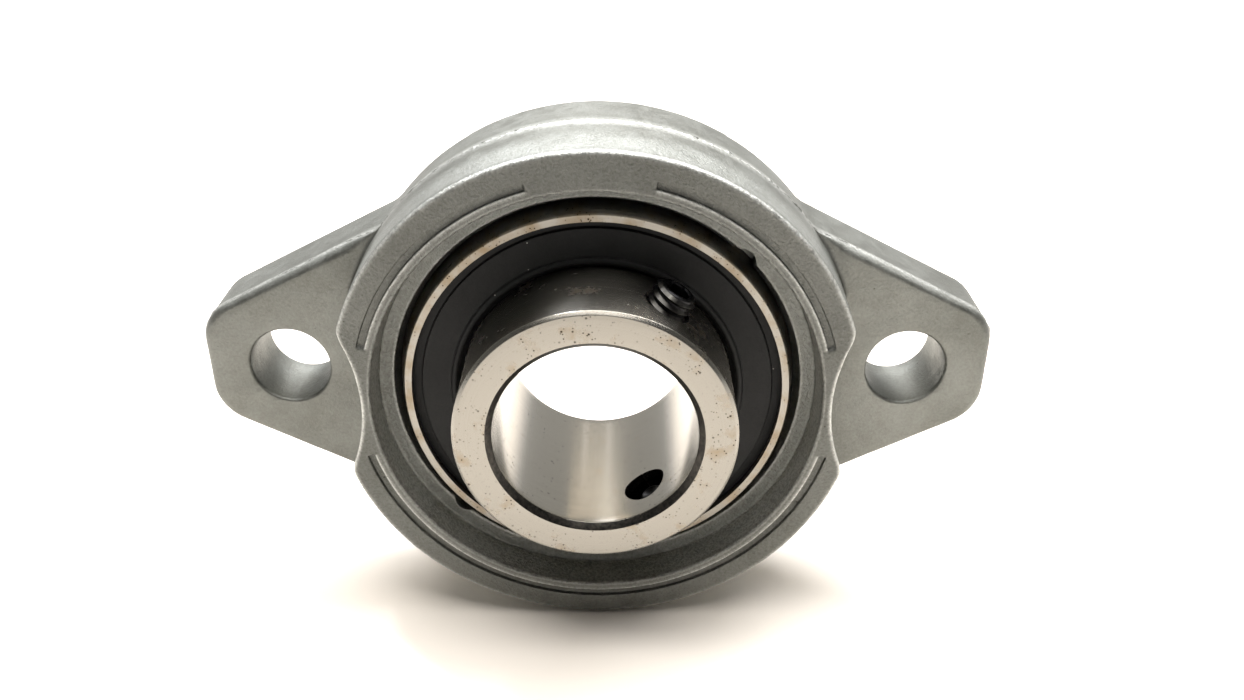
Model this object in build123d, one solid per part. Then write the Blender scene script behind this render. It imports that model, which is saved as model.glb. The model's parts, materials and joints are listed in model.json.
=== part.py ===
"""Two-bolt flange mount bearing with a self-aligning ball insert.

Frame: the mounting face lies in the XZ plane at Y = 0 and the bearing axis runs along Y. The long nose of
the inner ring points to -Y. The two bolt holes lie along X. +Z is up, with the unit standing on its rim.
The origin is the centre of the bolt pattern on the mounting face. Millimetres.
"""
from build123d import *
from math import cos, radians, sin, sqrt, tan
import os

# Housing: rhombus flange
BOLT_SPACING = 56.0
BOLT_HOLE_R = 3.6
BOLT_MOUTH_ROUND = 0.35
FLANGE_T = 7.0
FLANGE_LENGTH = 71.0
FLANGE_SIDE_REACH = 22.95  # height at which a straight side would cross the middle of the flange
FLANGE_SIDE_ANGLE = 27.2  # between a straight side and the bolt line
FLANGE_CORNER_R = 4.0
FLANGE_WAIST_R = 2.0
FLANGE_DISC_R = 22.5
FLANGE_CORE_R = 20.0
FLANGE_EDGE_ROUND = 0.9

# Housing: round body and the relief beside each bolt head
HOUSING_H = 14.0
BODY_R_BACK = 22.6
BODY_R_PARTING = 22.95
BODY_R_FACE = 22.75
BODY_EDGE_ROUND = 0.45
SCOOP_R = 16.0
SCOOP_REACH = 20.25  # distance from the bearing axis to the bottom of the relief
SCOOP_EDGE_ROUND = 0.4

# Housing: counterbore, shelf and spherical seat
SEAT_CENTRE = 7.0  # from the mounting face
SEAT_R = 17.55
SEAT_FRONT = 9.8
SEAT_BACK = 3.2
COUNTERBORE_R_FACE = 19.35
COUNTERBORE_R_SHELF = 19.15
SHELF_H = 10.85
MOUTH_R = 17.74
MOUTH_LAND = 0.4
BACK_BORE_R = 17.5
SLOT_W = 10.3
SLOT_R = 17.65
NOTCH_R = 1.25
NOTCH_CENTRE_R = 17.0
NOTCH_DEPTH = 1.9
NOTCH_ANGLES = (45, 225)

# Housing: shallow groove on the face, in three arcs
GROOVE_R = 20.45
GROOVE_W = 0.7
GROOVE_DEPTH = 0.35
GROOVE_ARCS = ((15.5, 76.5), (105.5, 164.5), (194.5, 345.5))

# Ball set
BALL_R = 4.7625 / 2
BALL_COUNT = 10
FIRST_BALL = 9.0  # angle of the first ball, in degrees
PITCH_R = 13.0
BALL_CLEARANCE = 0.04
RACE_R = 0.52 * 2 * BALL_R

# Outer ring
OUTER_SPHERE_R = 17.5
OUTER_HALF_W = 5.0
OUTER_SHOULDER_R = 14.6
OUTER_CHAMFER = 0.12
SEAL_SEAT_R = 16.35
SEAL_MOUTH_R = 16.1
SEAL_SEAT_START = 3.5  # from the middle of the rings
SEAL_SEAT_END = 4.45

# Inner ring
BORE_R = 8.5
BORE_CHAMFER = 0.5
INNER_R = 11.75
INNER_BACK = 2.0
INNER_FRONT = 19.5
INNER_CHAMFER = 0.28

# Set screws, both in the nose of the inner ring
SCREW_H = 15.1
SCREW_ANGLES = {"set_screw_upper": 60, "set_screw_lower": -60}
SCREW_R = 1.85
SCREW_HOLE_R = 1.9
SCREW_LENGTH = 4.0
SCREW_TOP_R = 13.4  # radius about the bearing axis at which a screw's head end stands
SCREW_TIP_LENGTH = 0.8
SCREW_TIP_FLAT_R = 0.9
SCREW_EDGE = 0.25
HEX_ACROSS_FLATS = 2.0
HEX_DEPTH = 1.9

# Seals
SEAL_CORE_T = 0.3
SEAL_CORE_START = 3.62
SEAL_CORE_IN_R = 12.5
SEAL_CORE_OUT_R = 15.7
RUBBER_FACE = 4.3
RUBBER_OUT_R = 16.3
RUBBER_RIM_STEP_R = 15.3
RUBBER_RIM_FACE = 4.0
LIP_R = 11.8
LIP_BEAD_R = 0.32

# Cage
CAGE_IN_R = 12.25
CAGE_OUT_R = 13.75
CAGE_T = 0.35
POCKET_R = BALL_R + 0.07
RIVET_R = 0.4
RIVET_HEAD_R = 0.62
RIVET_HEAD_H = 0.22

FRONT = Plane.XZ  # its normal points to -Y, from the mounting face towards the nose


def at_height(height):
    """The plane parallel to the mounting face, this far in front of it."""
    return FRONT.offset(height)


def polar(radius, angle, height):
    """A point at this radius and angle about the bearing axis, this far in front of the mounting face."""
    return Vector(radius * cos(radians(angle)), -height, radius * sin(radians(angle)))


def turned(points):
    """A ring turned from a closed outline of (radius, height) points."""
    outline = Polyline(*[(radius, -height) for radius, height in points], close=True)
    return revolve(make_face(outline), Axis.Y)


def disc(radius, start, end):
    """A plain cylinder on the bearing axis between two heights."""
    return extrude(at_height(start) * Circle(radius), end - start)


def ring(inner, outer, start, end):
    """A plain ring on the bearing axis between two heights."""
    return disc(outer, start, end) - disc(inner, start, end)


def ball_angles(offset=0.0):
    """The even spacing of the balls, turned by a share of one pitch."""
    return [FIRST_BALL + 360 / BALL_COUNT * (index + offset) for index in range(BALL_COUNT)]


def sphere_at(radius, angle):
    """A sphere on the pitch circle, with its poles along the bearing axis."""
    return Pos(polar(PITCH_R, angle, SEAT_CENTRE)) * Rot(90, 0, 0) * Sphere(radius)


def flange():
    """The rhombus flange with rounded ends, blended into a disc inside the body, its front edge rounded."""
    slope = tan(radians(FLANGE_SIDE_ANGLE))
    half = FLANGE_LENGTH / 2
    end_reach = FLANGE_SIDE_REACH - half * slope
    side_start = (FLANGE_SIDE_REACH - FLANGE_CORE_R) / slope
    quarter = [(side_start, FLANGE_CORE_R), (half, end_reach)]
    right = quarter + [(x, -y) for x, y in reversed(quarter)]
    left = [(-x, -y) for x, y in right]
    wings = make_face(Polyline(*right, *left, close=True))
    ends = [corner for corner in wings.vertices() if abs(corner.X) > half - 1]
    outline = fillet(ends, FLANGE_CORNER_R) + Circle(FLANGE_DISC_R)
    waists = [corner for corner in outline.vertices() if abs(corner.Y) > FLANGE_CORNER_R + end_reach]
    plate = extrude(FRONT * fillet(waists, FLANGE_WAIST_R), FLANGE_T)
    front_edges = plate.faces().sort_by(Axis.Y)[0].edges()
    return fillet(front_edges, FLANGE_EDGE_ROUND)


def body():
    """The round body with drafted sides, relieved beside each bolt head."""
    round_start = BODY_R_FACE - BODY_EDGE_ROUND
    with_draft = [
        (0, 0),
        (BODY_R_BACK, 0),
        (BODY_R_PARTING, FLANGE_T),
        (BODY_R_FACE, HOUSING_H - BODY_EDGE_ROUND),
        (round_start, HOUSING_H),
        (0, HOUSING_H),
    ]
    lines = [Line((a[0], -a[1]), (b[0], -b[1])) for a, b in zip(with_draft, with_draft[1:] + with_draft[:1])]
    lines[3] = RadiusArc((BODY_R_FACE, -with_draft[3][1]), (round_start, -HOUSING_H), BODY_EDGE_ROUND)
    solid = revolve(make_face(lines), Axis.Y)
    for side in (-1, 1):
        centre = Pos(side * (SCOOP_REACH + SCOOP_R), 0)
        scoop = extrude(at_height(FLANGE_T) * centre * Circle(SCOOP_R), HOUSING_H)
        solid = solid - scoop
    face_edges = solid.faces().sort_by(Axis.Y)[0].edges()
    scoop_edges = [edge for edge in face_edges if abs(edge.center().X) > abs(edge.center().Z)]
    return fillet([edge for edge in scoop_edges if edge.radius > 0 and abs(edge.radius - SCOOP_R) < 0.1],
                  SCOOP_EDGE_ROUND)


def seat_bore():
    """The turned hollow: counterbore, mouth, spherical seat and back bore."""
    seat_front_r = sqrt(SEAT_R**2 - (SEAT_FRONT - SEAT_CENTRE) ** 2)
    seat_back_r = sqrt(SEAT_R**2 - (SEAT_BACK - SEAT_CENTRE) ** 2)
    mouth_end = SHELF_H - MOUTH_LAND
    upper = [
        (seat_front_r, SEAT_FRONT),
        (MOUTH_R, mouth_end),
        (MOUTH_R, SHELF_H),
        (COUNTERBORE_R_SHELF, SHELF_H),
        (COUNTERBORE_R_FACE, HOUSING_H + 1),
        (0, HOUSING_H + 1),
        (0, -1),
        (BACK_BORE_R, -1),
        (BACK_BORE_R, SEAT_BACK - 1),
        (seat_back_r, SEAT_BACK),
    ]
    path = Polyline(*[(radius, -height) for radius, height in upper])
    seat = ThreePointArc((seat_back_r, -SEAT_BACK), (SEAT_R, -SEAT_CENTRE), (seat_front_r, -SEAT_FRONT))
    return revolve(make_face([path, seat]), Axis.Y)


def loading_slots():
    """Two slots in the back of the seat, one opposite the other, through which the insert is turned in."""
    block = extrude(FRONT * Rectangle(SLOT_W, 2 * SLOT_R), SEAT_CENTRE)
    return block & disc(SLOT_R, 0, SEAT_CENTRE)


def lip_notches():
    """The two small half-round notches in the lip of the seat."""
    notches = []
    for angle in NOTCH_ANGLES:
        centre = Rot(0, 0, angle) * Pos(NOTCH_CENTRE_R, 0)
        notches.append(extrude(at_height(SHELF_H - NOTCH_DEPTH) * centre * Circle(NOTCH_R), NOTCH_DEPTH + 0.5))
    return notches


def face_groove(start, end):
    """One arc of the shallow groove on the housing face."""
    band = ring(GROOVE_R - GROOVE_W / 2, GROOVE_R + GROOVE_W / 2, HOUSING_H - GROOVE_DEPTH, HOUSING_H + 1)
    reach = 4 * GROOVE_R
    middle = (start + end) / 2
    wedge = make_face(Polyline(
        (0, 0),
        (reach * cos(radians(start)), reach * sin(radians(start))),
        (reach * cos(radians(middle)), reach * sin(radians(middle))),
        (reach * cos(radians(end)), reach * sin(radians(end))),
        close=True,
    ))
    return band & extrude(at_height(HOUSING_H - GROOVE_DEPTH) * wedge, GROOVE_DEPTH + 1)


def bolt_hole(side):
    """A bolt hole with rounded mouths, as a solid to take away."""
    lip = BOLT_HOLE_R + BOLT_MOUTH_ROUND
    hole = extrude(FRONT.offset(-1) * Pos(side * BOLT_SPACING / 2, 0) * Circle(BOLT_HOLE_R), FLANGE_T + 2)
    mouths = []
    for height, outward in ((0, -1), (FLANGE_T, 1)):
        inside = height - outward * BOLT_MOUTH_ROUND
        profile = make_face([
            Line((0, -inside), (BOLT_HOLE_R, -inside)),
            RadiusArc((BOLT_HOLE_R, -inside), (lip, -height), -outward * BOLT_MOUTH_ROUND),
            Line((lip, -height), (0, -height)),
            Line((0, -height), (0, -inside)),
        ])
        mouths.append(Pos(side * BOLT_SPACING / 2, 0, 0) * revolve(profile, Axis.Y))
    return [hole] + mouths


def housing():
    """The die-cast housing in one piece."""
    solid = body() + flange()
    solid = solid - seat_bore() - loading_slots()
    for cut in lip_notches() + bolt_hole(-1) + bolt_hole(1):
        solid = solid - cut
    for start, end in GROOVE_ARCS:
        solid = solid - face_groove(start, end)
    return solid


def outer_race_cut():
    """The raceway in the outer ring, whose bottom clears the balls."""
    centre = PITCH_R + BALL_R + BALL_CLEARANCE - RACE_R
    return revolve(Pos(centre, -SEAT_CENTRE) * Circle(RACE_R), Axis.Y)


def inner_race_cut():
    """The raceway in the inner ring, whose bottom clears the balls."""
    centre = PITCH_R - BALL_R - BALL_CLEARANCE + RACE_R
    return revolve(Pos(centre, -SEAT_CENTRE) * Circle(RACE_R), Axis.Y)


def outer_ring():
    """The outer ring: spherical outside, raceway and two seal seats inside."""
    low = SEAT_CENTRE - OUTER_HALF_W
    high = SEAT_CENTRE + OUTER_HALF_W
    side_r = sqrt(OUTER_SPHERE_R**2 - (OUTER_HALF_W - OUTER_CHAMFER) ** 2)
    face_r = side_r - OUTER_CHAMFER
    sphere = ThreePointArc((side_r, -low - OUTER_CHAMFER), (OUTER_SPHERE_R, -SEAT_CENTRE),
                           (side_r, -high + OUTER_CHAMFER))
    inside = [(side_r, high - OUTER_CHAMFER), (face_r, high)]
    for sign in (1, -1):
        half = [
            (SEAL_MOUTH_R, SEAT_CENTRE + sign * OUTER_HALF_W),
            (SEAL_MOUTH_R, SEAT_CENTRE + sign * SEAL_SEAT_END),
            (SEAL_SEAT_R, SEAT_CENTRE + sign * SEAL_SEAT_END),
            (SEAL_SEAT_R, SEAT_CENTRE + sign * SEAL_SEAT_START),
            (OUTER_SHOULDER_R, SEAT_CENTRE + sign * SEAL_SEAT_START),
        ]
        inside += half if sign > 0 else half[::-1]
    inside += [(face_r, low), (side_r, low + OUTER_CHAMFER)]
    path = Polyline(*[(radius, -height) for radius, height in inside])
    return revolve(make_face([path, sphere]), Axis.Y) - outer_race_cut()


def inner_ring():
    """The inner ring: raceway, long nose, chamfered bore and two set screw holes."""
    solid = turned([
        (BORE_R, INNER_BACK + BORE_CHAMFER),
        (BORE_R + BORE_CHAMFER, INNER_BACK),
        (INNER_R - INNER_CHAMFER, INNER_BACK),
        (INNER_R, INNER_BACK + INNER_CHAMFER),
        (INNER_R, INNER_FRONT - INNER_CHAMFER),
        (INNER_R - INNER_CHAMFER, INNER_FRONT),
        (BORE_R + BORE_CHAMFER, INNER_FRONT),
        (BORE_R, INNER_FRONT - BORE_CHAMFER),
    ])
    solid = solid - inner_race_cut()
    for angle in SCREW_ANGLES.values():
        solid = solid - extrude(screw_plane(angle, 0) * Circle(SCREW_HOLE_R), 2 * INNER_R)
    return solid


def screw_plane(angle, radius):
    """The plane across a set screw's axis, this far from the bearing axis, facing outwards."""
    outward = polar(1, angle, 0)
    return Plane(origin=polar(radius, angle, SCREW_H), x_dir=(0, 1, 0), z_dir=outward)


def set_screw(angle):
    """A socket set screw with a blunt cone point and a hexagon socket."""
    tip_r = SCREW_TOP_R - SCREW_LENGTH
    outline = make_face(Polyline(
        (0, 0),
        (SCREW_TIP_FLAT_R, 0),
        (SCREW_R, SCREW_TIP_LENGTH),
        (SCREW_R, SCREW_LENGTH - SCREW_EDGE),
        (SCREW_R - SCREW_EDGE, SCREW_LENGTH),
        (0, SCREW_LENGTH),
        close=True,
    ))
    blank = revolve(Plane.XZ * outline, Axis.Z)
    socket = extrude(Plane.XY.offset(SCREW_LENGTH) * RegularPolygon(HEX_ACROSS_FLATS / 2, 6, major_radius=False),
                     -HEX_DEPTH)
    return screw_plane(angle, tip_r).location * (blank - socket)


def mirrored(solid):
    """The same solid on the other side of the rings' middle plane."""
    return mirror(solid, about=at_height(SEAT_CENTRE))


def seal_core():
    """The steel washer that stiffens the front seal."""
    start = SEAT_CENTRE + SEAL_CORE_START
    return ring(SEAL_CORE_IN_R, SEAL_CORE_OUT_R, start, start + SEAL_CORE_T)


def seal_rubber():
    """The front seal's rubber: rim in the seat, flat cover over the core, beaded lip at the inner ring."""
    core_back = SEAT_CENTRE + SEAL_CORE_START
    core_front = core_back + SEAL_CORE_T
    cover = SEAT_CENTRE + RUBBER_FACE
    rim = SEAT_CENTRE + RUBBER_RIM_FACE
    solid = turned([
        (SEAL_CORE_OUT_R, core_back),
        (RUBBER_OUT_R, core_back),
        (RUBBER_OUT_R, rim),
        (RUBBER_RIM_STEP_R, rim),
        (RUBBER_RIM_STEP_R, cover),
        (LIP_R + 0.5, cover),
        (LIP_R, cover - 0.35),
        (LIP_R, core_back + 0.1),
        (SEAL_CORE_IN_R, core_back + 0.1),
        (SEAL_CORE_IN_R, core_front),
        (SEAL_CORE_OUT_R, core_front),
    ])
    bead = revolve(Pos(LIP_R + 2 * LIP_BEAD_R, -cover) * Circle(LIP_BEAD_R), Axis.Y)
    return solid + bead


def cage_half():
    """The front half of the ribbon cage: flat between the balls, cupped round each ball."""
    band = ring(CAGE_IN_R, CAGE_OUT_R, SEAT_CENTRE, SEAT_CENTRE + 2 * BALL_R)
    flat = ring(CAGE_IN_R, CAGE_OUT_R, SEAT_CENTRE, SEAT_CENTRE + CAGE_T)
    solid = flat + [sphere_at(POCKET_R + CAGE_T, angle) & band for angle in ball_angles()]
    for angle in ball_angles():
        solid = solid - sphere_at(POCKET_R, angle)
    for angle in ball_angles(0.5):
        hole = Pos(polar(PITCH_R, angle, 0)) * extrude(FRONT * Circle(RIVET_R), 2 * SEAT_CENTRE)
        solid = solid - hole
    return solid


def rivet(angle):
    """One rivet through both cage halves, with a flat head on each side."""
    shank = extrude(at_height(SEAT_CENTRE - CAGE_T) * Circle(RIVET_R), 2 * CAGE_T)
    front_head = extrude(at_height(SEAT_CENTRE + CAGE_T) * Circle(RIVET_HEAD_R), RIVET_HEAD_H)
    back_head = extrude(at_height(SEAT_CENTRE - CAGE_T) * Circle(RIVET_HEAD_R), -RIVET_HEAD_H)
    return Pos(polar(PITCH_R, angle, 0)) * (shank + front_head + back_head)


def nodes():
    """Every node of the unit with its solid."""
    parts = {
        "housing": housing(),
        "outer_ring": outer_ring(),
        "inner_ring": inner_ring(),
        "cage_front_half": cage_half(),
        "cage_back_half": mirrored(cage_half()),
        "cage_rivets": Compound(children=[rivet(angle) for angle in ball_angles(0.5)]),
        "seal_core_front": seal_core(),
        "seal_core_back": mirrored(seal_core()),
        "seal_rubber_front": seal_rubber(),
        "seal_rubber_back": mirrored(seal_rubber()),
    }
    for name, angle in SCREW_ANGLES.items():
        parts[name] = set_screw(angle)
    for number, angle in enumerate(ball_angles(), start=1):
        parts[f"ball_{number:02d}"] = sphere_at(BALL_R, angle)
    return parts


os.makedirs("parts", exist_ok=True)
for name, solid in nodes().items():
    export_step(solid, f"parts/{name}.step")
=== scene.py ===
"""Looks of the two-bolt flange mount bearing, built as an add-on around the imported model.

Axes are the model's own: the bearing axis runs along Y, the nose of the inner ring points to -Y, the bolt
holes lie along X and +Z is up. "Height" is the distance in front of the mounting face, so height = -Y.
"""
import bmesh
import bpy
import json
import math
import numpy as np
from mathutils import Matrix, Vector, noise

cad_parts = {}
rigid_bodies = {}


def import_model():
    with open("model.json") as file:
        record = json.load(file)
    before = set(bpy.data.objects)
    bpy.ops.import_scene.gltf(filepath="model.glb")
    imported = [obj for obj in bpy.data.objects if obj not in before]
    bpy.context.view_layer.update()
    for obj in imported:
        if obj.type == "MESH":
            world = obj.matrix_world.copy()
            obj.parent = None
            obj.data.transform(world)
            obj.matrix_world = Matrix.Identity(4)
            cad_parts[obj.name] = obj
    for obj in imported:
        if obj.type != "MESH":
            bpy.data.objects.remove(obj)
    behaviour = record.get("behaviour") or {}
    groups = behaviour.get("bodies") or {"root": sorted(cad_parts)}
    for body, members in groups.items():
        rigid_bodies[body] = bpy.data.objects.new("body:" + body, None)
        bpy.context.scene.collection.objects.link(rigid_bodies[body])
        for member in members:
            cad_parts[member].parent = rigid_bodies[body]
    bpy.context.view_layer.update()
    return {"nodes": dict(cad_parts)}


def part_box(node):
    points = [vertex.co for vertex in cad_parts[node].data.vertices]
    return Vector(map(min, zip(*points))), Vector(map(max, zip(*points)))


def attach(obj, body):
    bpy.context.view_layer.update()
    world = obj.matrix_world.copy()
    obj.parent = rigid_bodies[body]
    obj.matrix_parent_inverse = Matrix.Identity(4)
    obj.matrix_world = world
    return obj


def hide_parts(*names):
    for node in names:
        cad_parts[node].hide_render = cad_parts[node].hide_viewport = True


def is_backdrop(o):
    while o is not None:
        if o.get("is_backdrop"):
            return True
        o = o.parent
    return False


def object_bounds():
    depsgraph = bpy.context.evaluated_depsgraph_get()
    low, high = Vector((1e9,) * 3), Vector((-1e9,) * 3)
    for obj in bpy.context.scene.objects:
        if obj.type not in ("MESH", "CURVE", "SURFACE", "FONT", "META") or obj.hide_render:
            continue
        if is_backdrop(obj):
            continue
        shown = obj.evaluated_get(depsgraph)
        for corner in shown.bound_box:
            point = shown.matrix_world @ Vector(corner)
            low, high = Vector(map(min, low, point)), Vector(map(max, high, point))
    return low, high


for leftover in list(bpy.data.objects):
    bpy.data.objects.remove(leftover)
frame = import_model()

bl_info = {
    "name": "Flange mount bearing",
    "version": (1, 0, 0),
    "blender": (4, 5, 0),
    "location": "3D View > Sidebar > Bearing",
    "description": "Detailed pieces and finishes of a two-bolt flange mount bearing",
    "category": "Add Mesh",
}

MM = 0.001

# How far the floor reaches to each side, in metres
FLOOR_REACH = 4.0

# Housing sizes in mm, the same as in the model's source
FACE_H = -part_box("housing")[0][1] / MM
FLANGE_H = 7.0
FLANGE_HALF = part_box("housing")[1][0] / MM
FLANGE_SIDE_REACH = 22.95
FLANGE_SIDE_ANGLE = math.radians(27.2)
FLANGE_CORNER_R = 4.0
FLANGE_DISC_R = 22.5
# Past this angle from the bolt line, in radians, the flange's outline is the disc under the body
FLANGE_END_TURN = 1.05
BOLT_X = 28.0
BOLT_HOLE_R = 3.6
BODY_R_BACK = 22.6
BODY_R_PARTING = 22.95
BODY_R_FACE = 22.75
SCOOP_R = 16.0
SCOOP_CENTRE = 36.25
FAR_OUT = 60.0
# Within this radius the skin stays smooth, for the insert to sit in
SMOOTH_R = 17.9
SEAT_CENTRE = 7.0
SEAT_R = 17.55
SHELF_H = 10.85
MOUTH_R = 17.74
BACK_BORE_R = 17.5
SLOT_HALF = 5.15
SLOT_R = 17.65
WALL_R_SHELF = 19.15
WALL_R_FACE = 19.35
NOTCH_R = 1.25
NOTCH_CENTRE_R = 17.0
NOTCH_FLOOR = 8.95
NOTCH_ANGLES = (45, 225)
GROOVE_R = 20.45
GROOVE_HALF = 0.35
GROOVE_ARCS = ((15.5, 76.5), (105.5, 164.5), (194.5, 345.5))
LAND_IN_R = 19.53
LAND_OUT_R = 21.25

# Insert sizes in mm
BORE_R = 8.5
RING_R = 11.75
RING_BACK = -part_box("inner_ring")[1][1] / MM
RING_FRONT = -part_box("inner_ring")[0][1] / MM
RACE_R = 2.4765
RACE_CENTRE_R = 13.055
SCREW_H = 15.1
SCREW_ANGLES = {"set_screw_upper": 60, "set_screw_lower": -60}
SCREW_HOLE_R = 1.9
SCREW_TIP_R = 9.4
SCREW_CORE_R = 1.58
BEAD_R = 12.44
BEAD_ROUND = 0.32
COVER_H = 4.3
BALL_COUNT = 10
FIRST_RIVET = 27.0
PITCH_R = 13.0


def linear(code):
    """The linear colour of an sRGB hex value."""
    parts = [int(code[index:index + 2], 16) / 255 for index in (1, 3, 5)]
    return [part / 12.92 if part <= 0.04045 else ((part + 0.055) / 1.055) ** 2.4 for part in parts]


def colour(name, description, code):
    """A colour property whose default is an sRGB hex value."""
    return bpy.props.FloatVectorProperty(
        name=name, description=description, default=linear(code), subtype="COLOR", min=0, max=1)


def length(name, description, size):
    """A length property, kept in metres, whose default is given in millimetres."""
    return bpy.props.FloatProperty(
        name=name, description=description, default=size * MM, min=0, precision=5, subtype="DISTANCE",
        unit="LENGTH")


class BearingSizes(bpy.types.PropertyGroup):
    """Sizes a user may change without touching the fits."""
    flash: length("Flash height", "Mean height of the torn flash along the parting line", 0.065)
    unevenness: length("Casting unevenness", "How far the cast skin wanders from its true shape", 0.018)
    groove_depth: length("Face groove depth", "Depth of the groove on the housing face", 0.35)
    body_edge: length("Body edge round", "Round on the front edge of the body", 0.42)
    flange_edge: length("Flange edge round", "Round on the front edge of the flange", 0.9)
    foot: length("Foot fillet", "Fillet where the body stands on the flange", 0.5)
    thread_pitch: length("Thread pitch", "Pitch of the set screws' thread", 0.7)
    thread_tooth: length("Thread tooth", "Height of a thread tooth over the pitch line", 0.26)
    rivet_head: length("Rivet head", "Radius of a cage rivet's domed head", 0.62)
    grain: length("Cast grain", "Width of one grain of the tumbled skin", 0.26)


class BearingColours(bpy.types.PropertyGroup):
    """Colours of the finishes and of the stage."""
    zinc: colour("Zinc", "Tumbled die-cast zinc", "#8a8c88")
    zinc_dark: colour("Zinc shade", "Darker patches of the zinc skin", "#646560")
    zinc_worn_and_painted_light: colour("Zinc wear", "Rubbed edges of the zinc", "#cfd0cc")
    steel: colour("Ground steel", "Ground bearing steel", "#87847d")
    steel_stain: colour("Oil stain", "Dried oil and light rust on the steel", "#7b6a50")
    cage: colour("Cage steel", "Pressed steel of the cage and seal cores", "#a8a7a2")
    rubber: colour("Seal rubber", "Nitrile rubber of the seals", "#0f1010")
    oxide: colour("Black oxide", "Blackened steel of the set screws", "#2a2a2b")
    floor: colour("Floor", "Matt white card under the unit", "#f8f1e8")


def sizes():
    """The sizes in use."""
    return bpy.context.scene.bearing_sizes


def colours():
    """The colours in use."""
    return bpy.context.scene.bearing_colours


# Materials


def wire(tree, node, inputs):
    """Gives a node's inputs their values, or links from a socket or from a node's first output."""
    for socket, value in inputs.items():
        if isinstance(value, bpy.types.Node):
            value = value.outputs[0]
        if isinstance(value, bpy.types.NodeSocket):
            tree.links.new(value, node.inputs[socket])
        else:
            node.inputs[socket].default_value = value


def add(tree, kind, inputs=None, **settings):
    """Adds a node with its settings and wires its inputs; a kind that names no family is a shader node."""
    made = tree.nodes.new(kind if "Node" in kind else "ShaderNode" + kind)
    for name, value in settings.items():
        setattr(made, name, value)
    wire(tree, made, inputs or {})
    return made


def per_mm(width):
    """The texture scale that draws features of this width in millimetres."""
    return 1 / (width * MM)


def rgba(code_or_colour):
    """Four channels from a hex value or a stored colour."""
    parts = linear(code_or_colour) if isinstance(code_or_colour, str) else list(code_or_colour)
    return (*parts, 1)


def new_finish(name, **constants):
    """An empty material: its tree, its shader with constants on its own sockets, and Object coordinates."""
    material = bpy.data.materials.new(name)
    material.use_nodes = True
    tree = material.node_tree
    tree.nodes.clear()
    named = {key.replace("_", " "): value for key, value in constants.items()}
    shader = add(tree, "BsdfPrincipled", named)
    add(tree, "OutputMaterial", {"Surface": shader})
    place = add(tree, "TexCoord").outputs["Object"]
    return material, tree, shader, place


def coated(tree, under, *coats):
    """A colour with coats laid over it, each given as its mask and its colour."""
    for mask, over in coats:
        mix = add(tree, "Mix", {0: mask, 6: under, 7: rgba(over)}, data_type="RGBA")
        under = mix.outputs[2]
    return under


def relief(tree, *layers):
    """A normal bumped by (height, strength, depth in mm) layers, a negative depth sinking in."""
    normal = {}
    for height, strength, depth in layers:
        inputs = {"Height": height, "Strength": strength, "Distance": abs(depth) * MM, **normal}
        normal = {"Normal": add(tree, "Bump", inputs, invert=depth < 0)}
    return normal["Normal"]


def scattered(tree, place, cell, reach, share):
    """A mask of small spots: one in some of the cells, each about `reach` of a cell wide."""
    cells = add(tree, "TexVoronoi", {"Scale": per_mm(cell), "Vector": place})
    near = add(tree, "MapRange", {"Value": cells, "From Min": reach, "From Max": reach * 0.45})
    pick = add(tree, "SeparateColor", {"Color": cells.outputs["Color"]})
    chosen = add(tree, "Math", {0: pick, 1: 1 - share}, operation="GREATER_THAN")
    return add(tree, "Math", {0: near, 1: chosen}, operation="MULTIPLY")


def turning_place(tree, place):
    """Coordinates (radius, height) about the bearing axis, in which tool marks are rings."""
    axes = add(tree, "SeparateXYZ", {"Vector": place}).outputs
    flat = add(tree, "CombineXYZ", {"X": axes["X"], "Z": axes["Z"]})
    radius = add(tree, "VectorMath", {0: flat}, operation="LENGTH")
    return add(tree, "CombineXYZ", {"X": radius.outputs["Value"], "Y": axes["Y"]})


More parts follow.
